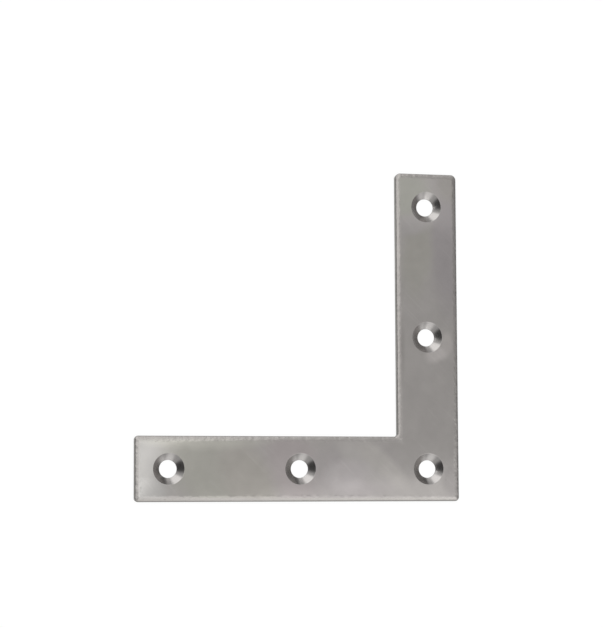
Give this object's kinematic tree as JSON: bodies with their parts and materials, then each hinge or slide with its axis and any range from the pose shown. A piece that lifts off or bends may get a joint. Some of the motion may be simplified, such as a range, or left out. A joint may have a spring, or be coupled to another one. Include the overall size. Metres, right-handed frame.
{
  "type": "corner brace",
  "caption": "Flat L-shaped steel corner brace with countersunk screw holes along both arms, screwed across a joint to hold two members square.",
  "frame": {"origin": "axis of the corner screw hole, at the underside of the plate", "axes": "+Z out of the countersinks, away from the surface that the plate is screwed to; the level arm runs towards -X and the upright arm towards +Y"},
  "size_m": [0.1001, 0.1001, 0.002],
  "materials": {
    "stainless_steel": "satin"
  },
  "bodies": {
    "root": {"corner_brace": "stainless_steel"}
  },
  "joints": []
}
